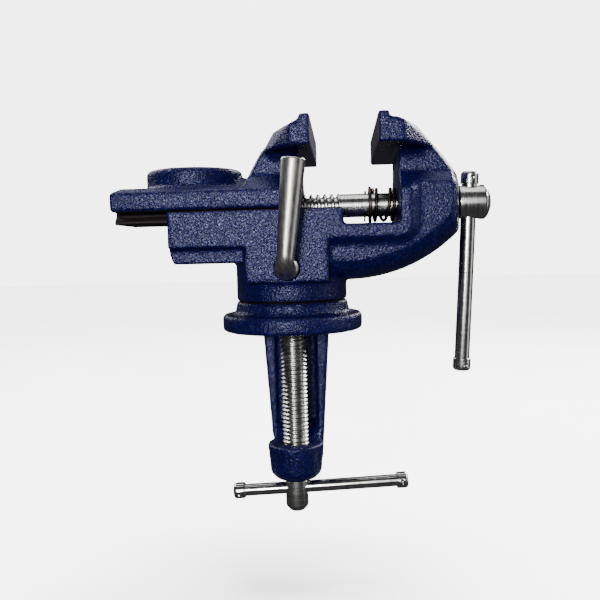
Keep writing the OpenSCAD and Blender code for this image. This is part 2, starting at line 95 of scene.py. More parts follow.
# Jaw screw, and what sits on its shank
SCREW_R, SCREW_ROOT, SCREW_PITCH = 4.5, 3.2, 2.5
THREAD_LEFT, THREAD_RIGHT = -27, 20.2
SHANK_LEFT, SHANK_R = 18, 4.25
HEAD_R, DOME_R = 6.2, 10
BAR_HOLE_R = 3.15
PIN_X, PIN_TILT, PIN_HOLE_R = 27.9, -37, 0.85
WASHER_X, WASHER_BORE = 28.7, 4.33
SPRING_R, SPRING_WIRE = 5.7, 0.6

# Clamp screw and its pad
CLAMP_R, CLAMP_ROOT, CLAMP_PITCH = 4.95, 4.1, 1.5
CLAMP_THREAD_LOW, CLAMP_THREAD_TOP = -57.6, -2.5
CLAMP_END, CLAMP_HEAD_R, CLAMP_HEAD_TOP = -69, 4.25, -57.2
CLAMP_HOLE_R = 2.65
TIP_R, TIP_TOP = 2.5, -0.42
PAD_BORE, PAD_R, PAD_LOW, PAD_TOP = 2.56, 7, -2.2, -0.2

# Handle bars. Each cap has its side, its open end's place along the bar, and its punch mark's angle
JAW_BAR = {"radius": 2.7, "low": -60.2, "high": 9.8, "lean": 2.9, "cap_radius": 3.2, "cap_length": 4.6,
           "caps": (("upper", 6.5, -80), ("lower", -56.9, 72))}
CLAMP_BAR = {"radius": 2.25, "low": -22.8, "high": 40.6, "lean": 3.6, "cap_radius": 3.0, "cap_length": 4.3,
             "caps": (("right", 37.6, -95), ("left", -19.8, 80))}

# Skin of the castings: voxel size, rounds of smoothing and height of its waves
VOXEL, SOFTENING, WAVES = 0.6, 4, 0.045

# Machined faces: how far bareness reaches from one, how squarely its normals look, and the lips' crispness
FACE_REACH, FLAT_REACH, LIP_REACH = 0.45, 0.35, 1.2
FACING, LIP_CRISPNESS, TAIL_INSET = 0.7, 0.7, 0.12

# Bare zones inside the castings, each a little wider than the hole or spigot in it
CHANNEL = ((-60, -13.2, 38.8), (20.2, 13.2, 43.6))
SPIGOT_BORE_R, SPIGOT_BORE_TOP, SPIGOT_SIDE_R = 11.6, 31.5, 11.4
SHAFT_HOLE_R, BOSS_HOLE_R = 4.8, 5.4
NUT_HOLE_R, NUT_HOLE_TOP, NUT_HOLE_LEFT = 5.6, 50.2, -52


# ---------------------------------------------------------------- mesh helpers


def new_object(name, points, faces, smooth=True):
    """A mesh object from points in millimetres, with coincident points merged."""
    mesh = bpy.data.meshes.new(name)
    mesh.from_pydata([tuple(float(c) * MM for c in p) for p in points], [], faces)
    work = bmesh.new()
    work.from_mesh(mesh)
    bmesh.ops.remove_doubles(work, verts=work.verts, dist=1e-7)
    bmesh.ops.dissolve_degenerate(work, edges=work.edges, dist=1e-8)
    bmesh.ops.recalc_face_normals(work, faces=work.faces)
    for face in work.faces:
        face.smooth = smooth
    work.to_mesh(mesh)
    work.free()
    obj = bpy.data.objects.new(name, mesh)
    bpy.context.scene.collection.objects.link(obj)
    return obj


def turned(profile, sides=96):
    """Points and faces of a profile of (radius, height) turned round Z. A radius of 0 makes a pole."""
    points, faces, rows = [], [], []
    for radius, height in profile:
        start = len(points)
        if radius < 1e-6:
            points.append((0, 0, height))
            rows.append([start] * sides)
            continue
        for i in range(sides):
            a = math.tau * i / sides
            points.append((radius * math.cos(a), radius * math.sin(a), height))
        rows.append(list(range(start, start + sides)))
    for low, high in zip(rows, rows[1:]):
        for i in range(sides):
            n = (i + 1) % sides
            ring = [low[i], low[n], high[n], high[i]]
            face = [v for k, v in enumerate(ring) if v != ring[k - 1]]
            if len(face) > 2:
                faces.append(face)
    return points, faces


def rounded(corners, radius, steps=4):
    """A profile with each inner corner rounded by a small arc."""
    out = [corners[0]]
    for before, corner, after in zip(corners, corners[1:], corners[2:]):
        c = Vector(corner)
        a, b = Vector(before) - c, Vector(after) - c
        cut = min(radius, a.length * 0.45, b.length * 0.45)
        start, end = c + a.normalized() * cut, c + b.normalized() * cut
        for i in range(steps + 1):
            t = i / steps
            out.append(tuple(start * (1 - t) ** 2 + c * 2 * t * (1 - t) + end * t * t))
    return out + [corners[-1]]


def swept(path, radii, sides=32):
    """A round tube along a path, with closed ends."""
    path = [Vector(p) for p in path]
    count = len(path)
    tangents = [(path[min(i + 1, count - 1)] - path[max(i - 1, 0)]).normalized() for i in range(count)]
    side = tangents[0].orthogonal().normalized()
    points, faces = [], []
    for place, tangent, radius in zip(path, tangents, radii):
        side = (side - tangent * side.dot(tangent)).normalized()
        other = tangent.cross(side)
        for k in range(sides):
            a = math.tau * k / sides
            points.append(place + (side * math.cos(a) + other * math.sin(a)) * radius)
    for i in range(count - 1):
        for k in range(sides):
            n = (k + 1) % sides
            faces.append([i * sides + k, i * sides + n, (i + 1) * sides + n, (i + 1) * sides + k])
    faces.append(list(range(sides - 1, -1, -1)))
    faces.append([(count - 1) * sides + k for k in range(sides)])
    return points, faces


def threaded(low, high, pitch, root, crest, outline, chamfer, sides=64):
    """A rod with one real helical thread. outline is (phase, share of the depth) over one pitch."""
    phases = [p for p, _ in outline] + [1.0]
    levels = [v for _, v in outline] + [outline[0][1]]

    def radius(z, turn):
        share = float(np.interp(((z - low) / pitch - turn) % 1.0, phases, levels))
        end = min(z - low, high - z)
        return min(root + (crest - root) * share, crest - chamfer + end)

    bases = [low - pitch + pitch * (k + p) for k in range(int((high - low) / pitch) + 2) for p, _ in outline]
    points, faces = [], []
    for base in bases:
        for i in range(sides):
            turn = i / sides
            z = min(max(base + pitch * turn, low), high)
            r, a = radius(z, turn), math.tau * turn
            points.append((r * math.cos(a), r * math.sin(a), z))
    step = len(outline)
    for j in range(len(bases) - 1):
        for i in range(sides):
            if i < sides - 1:
                faces.append([j * sides + i, j * sides + i + 1, (j + 1) * sides + i + 1, (j + 1) * sides + i])
            elif j + 1 + step < len(bases):
                faces.append([j * sides + i, (j + step) * sides, (j + 1 + step) * sides, (j + 1) * sides + i])
    return points, faces, len(bases) * sides


def placed(points, origin, rotation):
    """Points turned by a rotation matrix, then moved to an origin in millimetres."""
    origin = Vector(origin)
    return [rotation @ Vector(p) + origin for p in points]


ALONG_X = Matrix.Rotation(math.radians(90), 3, "Y")


def boolean(obj, other, how):
    """Cuts or joins another object's shape, which is then removed."""
    modifier = obj.modifiers.new("cut", "BOOLEAN")
    modifier.object, modifier.operation, modifier.solver = other, how, "EXACT"
    apply_modifiers(obj)
    bpy.data.objects.remove(other)


def apply_modifiers(obj):
    bpy.context.view_layer.update()
    evaluated = obj.evaluated_get(bpy.context.evaluated_depsgraph_get())
    mesh = bpy.data.meshes.new_from_object(evaluated)
    obj.modifiers.clear()
    obj.data = mesh


def sharpen(obj, degrees=35):
    """Smooth shading, with edges over an angle left sharp."""
    work = bmesh.new()
    work.from_mesh(obj.data)
    for face in work.faces:
        face.smooth = True
    for edge in work.edges:
        edge.smooth = not (edge.is_manifold and edge.calc_face_angle(0) > math.radians(degrees))
    work.to_mesh(obj.data)
    work.free()


def dress(obj, body, slot, material, *nodes):
    """Puts a finished piece on its body, in place of its CAD nodes."""
    obj.data.materials.clear()
    obj.data.materials.append(material)
    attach(obj, body)
    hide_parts(*nodes)
    return obj


# ---------------------------------------------------------------- materials


class Nodes:
    """Short names for the nodes of one material."""

    def __init__(self, name):
        self.material = bpy.data.materials.new(name)
        self.material.use_nodes = True
        self.tree = self.material.node_tree
        self.shader = self.tree.nodes["Principled BSDF"]
        coordinates = self.tree.nodes.new("ShaderNodeTexCoord")
        self.place = coordinates.outputs["Object"]

    def link(self, a, b):
        self.tree.links.new(a, b)

    def value(self, socket, what):
        if isinstance(what, (int, float, tuple)):
            socket.default_value = what
        else:
            self.link(what, socket)

    def noise(self, scale, detail=2.0, roughness=0.5, stretch=None, distortion=0.0):
        node = self.tree.nodes.new("ShaderNodeTexNoise")
        node.inputs["Scale"].default_value = scale
        node.inputs["Detail"].default_value = detail
        node.inputs["Roughness"].default_value = roughness
        node.inputs["Distortion"].default_value = distortion
        place = self.place
        if stretch:
            mapping = self.tree.nodes.new("ShaderNodeMapping")
            mapping.inputs["Scale"].default_value = stretch
            self.link(place, mapping.inputs["Vector"])
            place = mapping.outputs["Vector"]
        self.link(place, node.inputs["Vector"])
        return node.outputs["Fac"]

    def ramp(self, factor, stops):
        node = self.tree.nodes.new("ShaderNodeValToRGB")
        elements = node.color_ramp.elements
        while len(elements) < len(stops):
            elements.new(0.5)
        for element, (at, colour) in zip(elements, stops):
            element.position = at
            element.color = (*colour, 1) if isinstance(colour, tuple) else (colour, colour, colour, 1)
        self.link(factor, node.inputs["Fac"])
        return node.outputs["Color"]

    def span(self, factor, low, high, to_low, to_high):
        node = self.tree.nodes.new("ShaderNodeMapRange")
        for key, number in (("From Min", low), ("From Max", high), ("To Min", to_low), ("To Max", to_high)):
            node.inputs[key].default_value = number
        self.link(factor, node.inputs["Value"])
        return node.outputs["Result"]

    def mix(self, factor, a, b):
        node = self.tree.nodes.new("ShaderNodeMix")
        node.data_type = "RGBA"
        self.value(node.inputs["Factor"], factor)
        for key, what in ((6, a), (7, b)):
            self.value(node.inputs[key], (*what, 1) if isinstance(what, tuple) else what)
        return node.outputs[2]

    def blend(self, factor, a, b):
        node = self.tree.nodes.new("ShaderNodeMix")
        for key, what in (("Factor", factor), ("A", a), ("B", b)):
            self.value(node.inputs[key], what)
        return node.outputs[0]

    def math(self, kind, a, b=0.0):
        node = self.tree.nodes.new("ShaderNodeMath")
        node.operation = kind
        self.value(node.inputs[0], a)
        self.value(node.inputs[1], b)
        return node.outputs[0]

    def bump(self, height, strength, distance, below=None):
        node = self.tree.nodes.new("ShaderNodeBump")
        self.value(node.inputs["Strength"], strength)
        node.inputs["Distance"].default_value = distance
        self.link(height, node.inputs["Height"])
        if below is not None:
            self.link(below, node.inputs["Normal"])
        return node.outputs["Normal"]

    def attribute(self, name):
        node = self.tree.nodes.new("ShaderNodeAttribute")
        node.attribute_name = name
        return node.outputs["Fac"]


def painted_iron():
    """Gloss navy paint over a pebbled casting, with bare machined faces where the mesh says so. The pebbles'
    colour is painted shade in their pits and a painted highlight on their crests.
    """
    n = Nodes("hammered_blue_paint")
    bare = n.attribute("bare")
    pebbles = n.noise(1350, 2.0, 0.5, distortion=0.6)
    lumps = n.noise(430, 2.0, 0.5)
    cloud = n.noise(60, 2.0, 0.5)
    # Pebble colour follows the bump's height. The darker navy in the pits is painted shade, and the lighter
    # violet-blue on the crests is painted highlight.
    pit_shade_crest_highlight_blues = [(0.34, (0.0008, 0.0008, 0.020)), (0.52, (0.0022, 0.0024, 0.060)), (0.68, (0.008, 0.009, 0.130))]
    paint = n.ramp(pebbles, pit_shade_crest_highlight_blues)
    paint = n.mix(n.span(cloud, 0.35, 0.7, 0.0, 0.35), paint, (0.0015, 0.0016, 0.038))
    metal = n.noise(90, 3.0, 0.6, stretch=(1, 14, 14))
    browns = [(0.3, (0.010, 0.007, 0.005)), (0.55, (0.030, 0.019, 0.013)), (0.75, (0.060, 0.042, 0.032))]
    brown = n.ramp(metal, browns)
    n.link(n.mix(bare, paint, brown), n.shader.inputs["Base Color"])
    n.link(n.blend(bare, 0.0, 0.5), n.shader.inputs["Metallic"])
    rough = n.span(pebbles, 0.3, 0.7, 0.34, 0.22)
    n.link(n.blend(bare, rough, n.span(metal, 0.3, 0.7, 0.52, 0.68)), n.shader.inputs["Roughness"])
    n.shader.inputs["Specular Tint"].default_value = (0.62, 0.64, 1.0, 1)
    cover = n.span(bare, 0.0, 1.0, 1.0, 0.12)
    first = n.bump(lumps, n.math("MULTIPLY", cover, 0.35), 0.0004)
    n.link(n.bump(pebbles, n.math("MULTIPLY", cover, 1.0), 0.00032, first), n.shader.inputs["Normal"])
    return n.material


def steel(name, dark, light, rough, stretch, grain=2600, grime=(0.06, 0.05, 0.04), stained=0.2, marks=0.08):
    """Satin or polished steel: fine tool marks drawn out along an axis, faint stains and small pits."""
    n = Nodes(name)
    lines = n.noise(grain, 2.0, 0.6, stretch=stretch)
    stain = n.noise(320, 4.0, 0.6)
    pits = n.noise(1900, 1.0, 0.5)
    colour = n.mix(n.span(lines, 0.35, 0.65, 0.0, 1.0), dark, light)
    n.link(n.mix(n.span(stain, 0.58, 0.80, 0.0, stained), colour, grime), n.shader.inputs["Base Color"])
    n.shader.inputs["Metallic"].default_value = 1.0
    roughness = n.math("ADD", n.span(stain, 0.4, 0.75, rough, rough + 0.10),
                       n.span(lines, 0.3, 0.7, -0.03, 0.04))
    n.link(roughness, n.shader.inputs["Roughness"])
    first = n.bump(lines, marks, 0.00005)
    n.link(n.bump(n.span(pits, 0.66, 0.74, 0.0, -1.0), 0.2, 0.00005, first), n.shader.inputs["Normal"])
    return n.material


PAINT = painted_iron()
ROUND_X = (1, 0.03, 0.03)
ROUND_Z = (0.03, 0.03, 1)
LENGTHWISE_Z = (1, 1, 0.04)
HANDLE_STEEL = steel("plated_handle_steel", (0.50, 0.50, 0.48), (0.68, 0.68, 0.65), 0.16, ROUND_Z,
                     stained=0.12)
BAR_STEEL = steel("plated_clamp_bar_steel", (0.50, 0.50, 0.48), (0.70, 0.70, 0.67), 0.14, ROUND_X,
                  stained=0.10)
LEVER_STEEL = steel("brushed_lever_steel", (0.44, 0.435, 0.41), (0.66, 0.65, 0.61), 0.30, LENGTHWISE_Z)
SCREW_STEEL = steel("turned_screw_steel", (0.50, 0.50, 0.49), (0.62, 0.62, 0.60), 0.20, ROUND_X,
                    grain=3200, marks=0.03)
CLAMP_STEEL = steel("threaded_clamp_steel", (0.36, 0.36, 0.34), (0.62, 0.62, 0.59), 0.25, ROUND_Z, grain=3200)
SPRING_STEEL = steel("dark_spring_steel", (0.030, 0.022, 0.016), (0.11, 0.085, 0.062), 0.32, ROUND_X,
                     grime=(0.08, 0.035, 0.012), stained=0.5)


# ---------------------------------------------------------------- castings


def arrays(mesh):
    """A mesh's points, and the two ends of each edge."""
    points = np.empty(len(mesh.vertices) * 3)
    mesh.vertices.foreach_get("co", points)
    ends = np.empty(len(mesh.edges) * 2, int)
    mesh.edges.foreach_get("vertices", ends)
    return points.reshape(-1, 3), ends.reshape(-1, 2)


def relaxed(points, ends, weight, rounds):
    """Points after several rounds of moving towards their neighbours' middle."""
    count = np.bincount(ends.ravel(), minlength=len(points))[:, None]
    for _ in range(rounds):
        total = np.zeros_like(points)
        np.add.at(total, ends[:, 0], points[ends[:, 1]])
        np.add.at(total, ends[:, 1], points[ends[:, 0]])
        points = points + weight[:, None] * 0.5 * (total / count - points)
    return points


def near(distance, reach):
    """1 on a surface and 0 from reach away."""
    t = np.clip(1 - np.abs(distance) / reach, 0, 1)
    return t * t * (3 - 2 * t)


def inside(points, low, high):
    """Which points lie in the box from low to high."""
    return np.all((points >= np.array(low)) & (points <= np.array(high)), axis=1)


def casting(name, node, body, machined):
    """A cast copy of a CAD node: soft edges and a slightly uneven skin, except on its machined faces.

    machined(points in mm, normals) gives each point 0 for paint to 1 for a bare face, 0 for a soft edge
    to 1 for a crisp one, and how far in mm it is drawn in.
    """
    source = frame["nodes"][node]
    mesh = source.data.copy()
    work = bmesh.new()
    work.from_mesh(mesh)
    bmesh.ops.remove_doubles(work, verts=work.verts, dist=2e-6)
    work.to_mesh(mesh)
    work.free()
    obj = bpy.data.objects.new(name, mesh)
    bpy.context.scene.collection.objects.link(obj)
    modifier = obj.modifiers.new("skin", "REMESH")
    modifier.mode, modifier.voxel_size, modifier.use_smooth_shade = "VOXEL", VOXEL * MM, True
    apply_modifiers(obj)
    mesh = obj.data
    points, ends = arrays(mesh)
    normals = np.empty(len(points) * 3)
    mesh.vertices.foreach_get("normal", normals)
    bare, crisp, inset = machined(points / MM, normals.reshape(-1, 3))
    points = relaxed(points, ends, 1 - 0.85 * crisp, SOFTENING)
    mesh.vertices.foreach_set("co", points.ravel())
    mesh.update()
    mesh.vertices.foreach_get("normal", normals)
    wave = np.array([noise.noise(Vector(p) * 260) + 0.5 * noise.noise(Vector(p) * 620) for p in points])
    points = points + normals.reshape(-1, 3) * ((wave * WAVES * (1 - crisp) - inset) * MM)[:, None]
    mesh.vertices.foreach_set("co", points.ravel())
    attribute = mesh.attributes.new("bare", "FLOAT", "POINT")
    attribute.data.foreach_set("value", bare.astype(np.float32))
    mesh.update()
    return dress(obj, body, "painted_casting", PAINT, node)


def jaw_face(p, n, face_x, way):
    """A jaw's bare gripping face, which looks along way, and the fairly crisp lips around it."""
    face = near(p[:, 0] - face_x, FACE_REACH) * (way * n[:, 0] > FACING) * (p[:, 2] > JAW_LOW - 1)
    lips = near(p[:, 0] - face_x, LIP_REACH) * (p[:, 2] > JAW_LOW - 1.2) * LIP_CRISPNESS
    return face, lips


def body_machined(p, n):
    """Bare on the jaw's face, dovetail channel, guide, spigot bore, seat and screw hole."""
    x, y, z = p.T
    face, lips = jaw_face(p, n, FIXED_X, -1)
    channel = inside(p, *CHANNEL)
    guide = near(z - GUIDE_TOP, FLAT_REACH) * (n[:, 2] > FACING) * (x < 20)
    bore = (np.hypot(x, y) < SPIGOT_BORE_R) * (z < SPIGOT_BORE_TOP)
    seat = (z < SEAT_Z + 0.4) * (n[:, 2] < -FACING)
    shaft = (np.hypot(y, z - SCREW_Z) < SHAFT_HOLE_R) * (x > 30)
    bare = np.max([face, channel, guide, bore, seat, shaft], axis=0)
    return bare, np.max([bare, lips], axis=0), 0 * bare


def jaw_machined(p, n):
    """Bare on the jaw's face, dovetail tail, arm's underside and screw hole. The tail is drawn in."""
    x, y, z = p.T
    face, lips = jaw_face(p, n, MOVING_X, 1)
    tail = (z < ARM_LOW - 0.15) * 1.0
    under = near(z - ARM_LOW, FLAT_REACH) * (n[:, 2] < -FACING)
    bore = (np.hypot(y, z - SCREW_Z) < NUT_HOLE_R) * (z < NUT_HOLE_TOP) * (x > NUT_HOLE_LEFT)
    bare = np.max([face, tail, under, bore], axis=0)
    return bare, np.max([bare, lips], axis=0), TAIL_INSET * tail


def bracket_machined(p, n):
    """Bare and crisp on the spigot, seat and screw hole."""
    x, y, z = p.T
    radius = np.hypot(x, y)
    spigot = (radius < SPIGOT_SIDE_R) * (z > 8)
    seat = near(z - SEAT_Z + 0.1, FLAT_REACH) * (n[:, 2] > FACING)
    bore = (radius < BOSS_HOLE_R) * (z < -40)
    bare = np.max([spigot, seat, bore], axis=0)
    return bare, bare, 0 * bare


casting("vise_body_casting", "vise_body", "body", body_machined)
casting("moving_jaw_casting", "moving_jaw", "slide", jaw_machined)
casting("clamp_bracket_casting", "clamp_bracket", "bracket", bracket_machined)


# ---------------------------------------------------------------- screws


def thread_object(name, low, high, pitch, root, crest, outline, chamfer, origin, rotation):
    """A closed helical thread between low and high, placed in the frame."""
    points, faces, count = threaded(low, high, pitch, root, crest, outline, chamfer)
    sides = 64
    points += [(0, 0, low), (0, 0, high)]
    for i in range(sides - 1):
        faces.append([i + 1, i, count])
        faces.append([count - sides + i, count - sides + i + 1, count + 1])
    faces.append([0, sides - 1, count])
    faces.append([count - 1, count - sides, count + 1])
    return new_object(name, placed(points, origin, rotation), faces)


TRAPEZOID = [(0.00, 0.0), (0.10, 0.0), (0.34, 0.94), (0.37, 1.0), (0.57, 1.0), (0.60, 0.94), (0.84, 0.0)]
METRIC = [(0.00, 0.0), (0.08, 0.06), (0.44, 0.95), (0.48, 1.0), (0.54, 1.0), (0.58, 0.95), (0.94, 0.06)]


PIN_AT = (PIN_X, 0, SCREW_Z)
PIN_TURN = Matrix.Rotation(math.radians(PIN_TILT), 3, "X")


def jaw_screw():
    """Thread, plain shank and domed head, drilled for the handle bar and the split pin."""
    centre = (0, 0, SCREW_Z)
    thread = thread_object("jaw_screw_thread", THREAD_LEFT, THREAD_RIGHT, SCREW_PITCH, SCREW_ROOT, SCREW_R,
                           TRAPEZOID, 0.8, centre, ALONG_X)
    length = HEAD_RIGHT - HEAD_LEFT
    shank_end = SHANK_LEFT - HEAD_LEFT
    dome = [(DOME_R * math.cos(a), length - DOME_R + DOME_R * math.sin(a))
            for a in np.radians(np.linspace(56, 89, 8))]
    corners = [(0, shank_end), (SHANK_R, shank_end), (SHANK_R, 0), (HEAD_R, 0),
               (HEAD_R, length - 2.4), dome[0]]
    profile = rounded(corners, 0.7) + dome[1:] + [(0, length)]
    points, faces = turned(profile)
    shank = new_object("jaw_screw_detailed", placed(points, (HEAD_LEFT, 0, SCREW_Z), ALONG_X), faces)
    flared = [(0, -9), (7, -9), (BAR_HOLE_R, -5.15), (BAR_HOLE_R, 5.15), (7, 9), (0, 9)]
    points, faces = turned(rounded(flared, 0.5), 64)
    points = placed(points, (BAR_X, 0, SCREW_Z), Matrix.Identity(3))
    boolean(shank, new_object("hole", points, faces), "DIFFERENCE")
    points, faces = turned([(0, -6), (PIN_HOLE_R, -6), (PIN_HOLE_R, 6), (0, 6)], 32)
    boolean(shank, new_object("hole", placed(points, PIN_AT, PIN_TURN), faces), "DIFFERENCE")
    boolean(shank, thread, "UNION")
    sharpen(shank, 30)
    return dress(shank, "screw", "turned_steel", SCREW_STEEL, "jaw_screw")


def clamp_screw():
    """Thread, drilled head and the peened tip that the pad turns on."""
    origin = (0, 0, 0)
    flat = Matrix.Identity(3)
    thread = thread_object("clamp_screw_thread", CLAMP_THREAD_LOW, CLAMP_THREAD_TOP, CLAMP_PITCH,
                           CLAMP_ROOT, CLAMP_R, METRIC, 0.9, origin, flat)
    head = [(0, CLAMP_END), (CLAMP_HEAD_R - 1.6, CLAMP_END), (CLAMP_HEAD_R, CLAMP_END + 1.8),
            (CLAMP_HEAD_R, CLAMP_HEAD_TOP), (0, CLAMP_HEAD_TOP)]
    points, faces = turned(rounded(head, 0.35))
    screw = new_object("clamp_screw_detailed", points, faces)
    flared = [(0, -9), (6, -9), (CLAMP_HOLE_R, -3.9), (CLAMP_HOLE_R, 3.9), (6, 9), (0, 9)]
    points, faces = turned(rounded(flared, 0.4), 64)
    hole = new_object("hole", placed(points, (0, 0, CLAMP_BAR_Z), ALONG_X), faces)
    boolean(screw, hole, "DIFFERENCE")
    boolean(screw, thread, "UNION")
    tip = [(0, -3), (TIP_R, -3), (TIP_R, -1), (TIP_R + 0.35, -0.5), (TIP_R + 0.1, TIP_TOP), (0, TIP_TOP)]
    points, faces = turned(rounded(tip, 0.1))
    boolean(screw, new_object("tip", points, faces), "UNION")
    sharpen(screw, 30)
    return dress(screw, "clamp", "turned_steel", CLAMP_STEEL, "clamp_screw")


def pressure_pad():
    """A disc with soft edges, countersunk at its top for the screw's peened tip."""
    corners = [(PAD_BORE, PAD_LOW), (PAD_R - 0.1, PAD_LOW), (PAD_R, -1.9), (PAD_R, -0.5),
               (PAD_R - 0.3, PAD_TOP), (3.3, PAD_TOP), (PAD_BORE, -1.1), (PAD_BORE, PAD_LOW)]
    points, faces = turned(rounded(corners, 0.15))
    pad = new_object("pressure_pad_detailed", points, faces)
    sharpen(pad, 40)
    return dress(pad, "pad", "plated_steel", CLAMP_STEEL, "pressure_pad")


jaw_screw()
clamp_screw()
pressure_pad()


# ---------------------------------------------------------------- handle bars and their caps


def punched(points, centre, reach, depth, inward):
    """Points pushed inwards near a centre, as a punch leaves them."""
    out = []
    for p in points:
        p = Vector(p)
        d = (p - Vector(centre)).length / reach
        if d < 1.35:
            push = depth * max(0.0, 1 - d * d) - 0.10 * depth * math.exp(-((d - 1.15) / 0.15) ** 2)
            p = p + Vector(inward) * push
        out.append(p)
    return out


def cap(name, body, node, radius, bar_radius, length, origin, rotation, mark, material):
    """A short sleeve closed by a shallow dome, staked with a punch on one side."""
    wall = [(bar_radius - 0.02, 0.0), (radius - 0.25, 0.0), (radius, 0.25)]
    wall += [(radius, h) for h in np.linspace(0.4, length - 1.3, 26)]
    edge = 1.2
    top = [(radius - edge + edge * math.cos(a), length - edge + edge * math.sin(a))
           for a in np.radians(np.linspace(8, 78, 7))]
    profile = wall + top + [(radius * s, length - 0.03 * (1 - s)) for s in (0.5, 0.25)] + [(0, length)]
    points, faces = turned(profile, 112)
    outward = Vector((math.cos(mark), math.sin(mark), 0))
    points = punched(points, outward * radius + Vector((0, 0, length * 0.5)), 0.85, 0.42, -outward)
    obj = new_object(name, placed(points, origin, rotation), faces)
    sharpen(obj, 50)
    return dress(obj, body, "plated_steel", material, node)


def bar(name, body, node, radius, low, high, origin, rotation, material):
    """A ground bar, very slightly bent by use, that ends inside its caps."""
    steps = 40
    path = [(0.10 * math.sin(math.pi * i / steps) ** 2, 0, low + (high - low) * i / steps)
            for i in range(steps + 1)]
    points, faces = swept(path, [radius] * (steps + 1), 64)
    obj = new_object(name, placed(points, origin, rotation), faces)
    sharpen(obj, 40)
    return dress(obj, body, "plated_steel", material, node)


HANDLES = (
    ("jaw_handle", JAW_BAR, (BAR_X, 0, SCREW_Z), JAW_BAR["lean"], HANDLE_STEEL),
    ("clamp_handle", CLAMP_BAR, (0, 0, CLAMP_BAR_Z), 90 - CLAMP_BAR["lean"], BAR_STEEL),
)
FLIP = Matrix.Rotation(math.pi, 3, "X")
for body, rod, middle, tilt, plating in HANDLES:
    turn = Matrix.Rotation(math.radians(tilt), 3, "Y")
    bar(f"{body}_bar_ground", body, f"{body}_bar", rod["radius"], rod["low"], rod["high"], middle, turn,
        plating)
    for side, along, mark in rod["caps"]:
        cap(f"{body}_{side}_cap_staked", body, f"{body}_{side}_cap", rod["cap_radius"], rod["radius"],
            rod["cap_length"], Vector(middle) + turn @ Vector((0, 0, along)),
            turn if along > 0 else turn @ FLIP, math.radians(mark), plating)


# ---------------------------------------------------------------- lock lever


def lock_lever():
    """One bent, tapering bar: a collar against the body, a bend, and an arm that widens to its end."""
    bend, plane, face, length = 4.5, -30.3, -21.4, 36.0
    bolt_r, bolt_length, neck_r, end_r, edge = 4.0, 12.4, 2.95, 4.05, 0.7
    path = [(0, face + bolt_length, 0)]
    radii = [bolt_r]
    collar = [(0, bolt_r), (0, 4.2), (2.3, 4.2), (2.7, 4.02), (3.1, 3.5), (3.9, 3.05)]
    for out, r in collar:
        path.append((0, face - out, 0))
        radii.append(r)
    for i in range(25):
        a = math.radians(90 * i / 24)
        path.append((0, plane + bend - bend * math.sin(a), bend - bend * math.cos(a)))
        radii.append(neck_r - 0.02 * (1 - i / 24))
    for i in range(1, 41):
        t = i / 40
        path.append((0, plane, bend + (length - edge - bend) * t))
        radii.append(neck_r + (end_r - neck_r) * t ** 0.92)
    for i in range(1, 6):
        a = math.radians(18 * i)
        path.append((0, plane, length - edge + edge * math.sin(a)))
        radii.append(end_r - edge * (1 - math.cos(a)))
    path = [Vector(p) for p in path]
    points, faces = lever_tube(path, radii)
    lean = Matrix.Rotation(math.radians(6.1), 3, "Y")
    obj = new_object("lock_lever_bent", placed(points, (0, 0, LEVER_Z), lean), faces)
    bolt = [(0, -bolt_length), (bolt_r, -bolt_length), (bolt_r, -5.2), (1.4, 0), (0, 0)]
    points, faces = turned(rounded(bolt, 0.2), 64)
    inward = Matrix.Rotation(math.radians(-90), 3, "X")
    points = placed(placed(points, (0, -8.9, 0), inward), (0, 0, LEVER_Z), Matrix.Identity(3))
    boolean(obj, new_object("bolt", points, faces), "UNION")
    sharpen(obj, 40)
    return dress(obj, "lever", "plated_steel", LEVER_STEEL, "lock_lever")


def lever_tube(path, radii, sides=64):
    """Rings across a path that lies in the YZ plane, with tangents that follow its straight parts exactly."""
    points, faces = [], []
    sideways = Vector((1, 0, 0))
    for i, (place, radius) in enumerate(zip(path, radii)):
        back = next((place - path[k] for k in range(i - 1, -1, -1)
                     if (place - path[k]).length > 1e-6), None)
        ahead = next((path[k] - place for k in range(i + 1, len(path))
                      if (path[k] - place).length > 1e-6), None)
        tangent = ((back or ahead).normalized() + (ahead or back).normalized()).normalized()
        other = tangent.cross(sideways)
        for k in range(sides):
            a = math.tau * k / sides
            points.append(place + (sideways * math.cos(a) + other * math.sin(a)) * radius)
    for i in range(len(path) - 1):
        for k in range(sides):
            n = (k + 1) % sides
            faces.append([i * sides + k, i * sides + n, (i + 1) * sides + n, (i + 1) * sides + k])
    faces.append(list(range(sides - 1, -1, -1)))
    faces.append([(len(path) - 1) * sides + k for k in range(sides)])
    return points, faces


lock_lever()


# ---------------------------------------------------------------- washer, spring and split pin


def thrust_washer():
    """A slightly dished washer."""
    corners = [(WASHER_BORE, 0.0), (6.7, 0.22), (6.8, 0.62), (6.75, 1.2),
               (WASHER_BORE, 1.0), (WASHER_BORE, 0.0)]
    points, faces = turned(rounded(corners, 0.22))
    obj = new_object("thrust_washer_dished", placed(points, (WASHER_X, 0, SCREW_Z), ALONG_X), faces)
    sharpen(obj, 45)
    return dress(obj, "screw", "spring_steel", SPRING_STEEL, "thrust_washer")


def take_up_spring():
    """Three turns of wire: a closed one at each end and an open one between."""
    first, last, closed = 30.55, 38.2, 1.3
    path, turns, steps = [], 3, 72
    for i in range(turns * steps + 1):
        t = i / steps
        u = min(max(t - 1, 0), 1)
        ease = u * u * (3 - 2 * u)
        x = first + closed * (min(t, 1) + max(t - 2, 0)) + (last - first - 2 * closed) * ease
        a = math.tau * t
        path.append((x, SPRING_R * math.sin(a), SCREW_Z + SPRING_R * math.cos(a)))
    points, faces = swept(path, [SPRING_WIRE] * len(path), 16)
    obj = new_object("take_up_spring_coiled", points, faces)
    sharpen(obj, 60)
    return dress(obj, "screw", "spring_steel", SPRING_STEEL, "take_up_spring")


